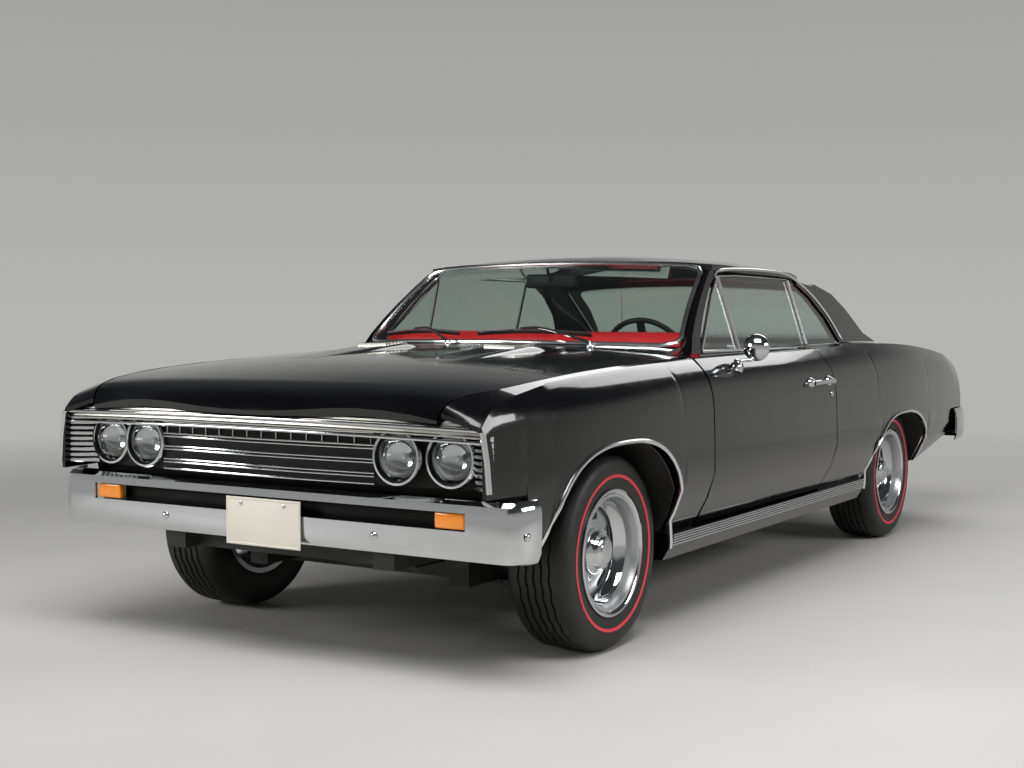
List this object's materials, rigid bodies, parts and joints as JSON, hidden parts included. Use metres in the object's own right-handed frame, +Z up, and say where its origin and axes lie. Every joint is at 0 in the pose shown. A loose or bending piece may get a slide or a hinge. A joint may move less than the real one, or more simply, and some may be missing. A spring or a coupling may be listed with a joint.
{
  "type": "two-door hardtop coupe",
  "caption": "Long-hood, short-deck two-door hardtop muscle coupe with a fastback-like rear roof, chrome bumpers, opening doors, hood and trunk lid, and steered free-rolling wheels.",
  "frame": {"origin": "on the ground under the middle of the car's outer box", "axes": "-Y forward, +X the car's left, +Z up; metres"},
  "size_m": [1.9432, 5, 1.358],
  "materials": {
    "black_paint": "gloss",
    "black_plastic": "grained",
    "cast_metal": "rough",
    "chrome_plate": "mirror bright",
    "clear_glass": "clear, faint green",
    "frame_paint": "satin black",
    "lamp_glass": "fluted",
    "red_trim": "grained",
    "steel": "brushed",
    "tyre_rubber": "matt"
  },
  "bodies": {
    "body": {"chassis_frame": "frame_paint", "floor_pan": "frame_paint", "firewall": "frame_paint", "hinge_pillars": "frame_paint", "cowl_panel": "black_paint", "roof_panel": "black_paint", "roof_pillars": "black_paint", "quarter_panels": "black_paint", "rocker_panels": "black_paint", "fenders": "black_paint", "wheelhouses": "frame_paint", "rear_deck": "black_paint", "tail_panel": "black_paint", "radiator": "frame_paint", "grille": "black_plastic", "lamps": "lamp_glass", "bumpers": "chrome_plate", "windshield": "clear_glass", "rear_windows": "clear_glass", "dashboard": "red_trim", "steering_column": "red_trim", "seats": "red_trim", "engine": "cast_metal", "rear_axle": "cast_metal", "fuel_tank": "steel", "exhaust": "steel", "suspension": "frame_paint"},
    "hood": {"hood": "black_paint"},
    "trunk_lid": {"trunk_lid": "black_paint"},
    "door_left": {"door_left": "black_paint", "door_glass_left": "clear_glass", "door_mirror": "chrome_plate"},
    "door_right": {"door_right": "black_paint", "door_glass_right": "clear_glass"},
    "knuckle_left": {"knuckle_left": "cast_metal"},
    "knuckle_right": {"knuckle_right": "cast_metal"},
    "steering_wheel": {"steering_wheel": "black_plastic"},
    "wheel_front_left": {"wheel_front_left": "steel", "tyre_front_left": "tyre_rubber"},
    "wheel_front_right": {"wheel_front_right": "steel", "tyre_front_right": "tyre_rubber"},
    "wheel_rear_left": {"wheel_rear_left": "steel", "tyre_rear_left": "tyre_rubber"},
    "wheel_rear_right": {"wheel_rear_right": "steel", "tyre_rear_right": "tyre_rubber"}
  },
  "joints": [
    {"name": "door_left_hinge", "type": "hinge", "parent": "body", "child": "door_left", "pos_m": [0.922, -0.955, 0.63], "axis": [0, 0, -1], "range_deg": [0, 65]},
    {"name": "door_right_hinge", "type": "hinge", "parent": "body", "child": "door_right", "pos_m": [-0.922, -0.955, 0.63], "axis": [0, 0, 1], "range_deg": [0, 65]},
    {"name": "hood_hinge", "type": "hinge", "parent": "body", "child": "hood", "pos_m": [0, -1.065, 0.946], "axis": [-1, 0, 0], "range_deg": [0, 50]},
    {"name": "trunk_hinge", "type": "hinge", "parent": "body", "child": "trunk_lid", "pos_m": [0, 1.222, 0.96413], "axis": [1, 0, 0], "range_deg": [0, 65]},
    {"name": "steer_left", "type": "hinge", "parent": "body", "child": "knuckle_left", "pos_m": [0.69, -1.674, 0.326], "axis": [0, 0, 1], "range_deg": [-30, 30]},
    {"name": "steer_right", "type": "hinge", "parent": "body", "child": "knuckle_right", "pos_m": [-0.69, -1.674, 0.326], "axis": [0, 0, 1], "range_deg": [-30, 30]},
    {"name": "steering_wheel_turn", "type": "hinge", "parent": "body", "child": "steering_wheel", "pos_m": [0.37, -0.451, 0.904], "axis": [0, 0.9291, 0.3697], "range_deg": [-480, 480]},
    {"name": "wheel_front_left_spin", "type": "hinge", "parent": "knuckle_left", "child": "wheel_front_left", "pos_m": [0.748, -1.674, 0.326], "axis": [1, 0, 0], "continuous": true},
    {"name": "wheel_rear_left_spin", "type": "hinge", "parent": "body", "child": "wheel_rear_left", "pos_m": [0.748, 1.247, 0.326], "axis": [1, 0, 0], "continuous": true},
    {"name": "wheel_front_right_spin", "type": "hinge", "parent": "knuckle_right", "child": "wheel_front_right", "pos_m": [-0.748, -1.674, 0.326], "axis": [1, 0, 0], "continuous": true},
    {"name": "wheel_rear_right_spin", "type": "hinge", "parent": "body", "child": "wheel_rear_right", "pos_m": [-0.748, 1.247, 0.326], "axis": [1, 0, 0], "continuous": true}
  ],
  "couplings": [
    {"joint": "steer_right", "follows": "steer_left", "ratio": 1},
    {"joint": "steering_wheel_turn", "follows": "steer_left", "ratio": 16}
  ]
}
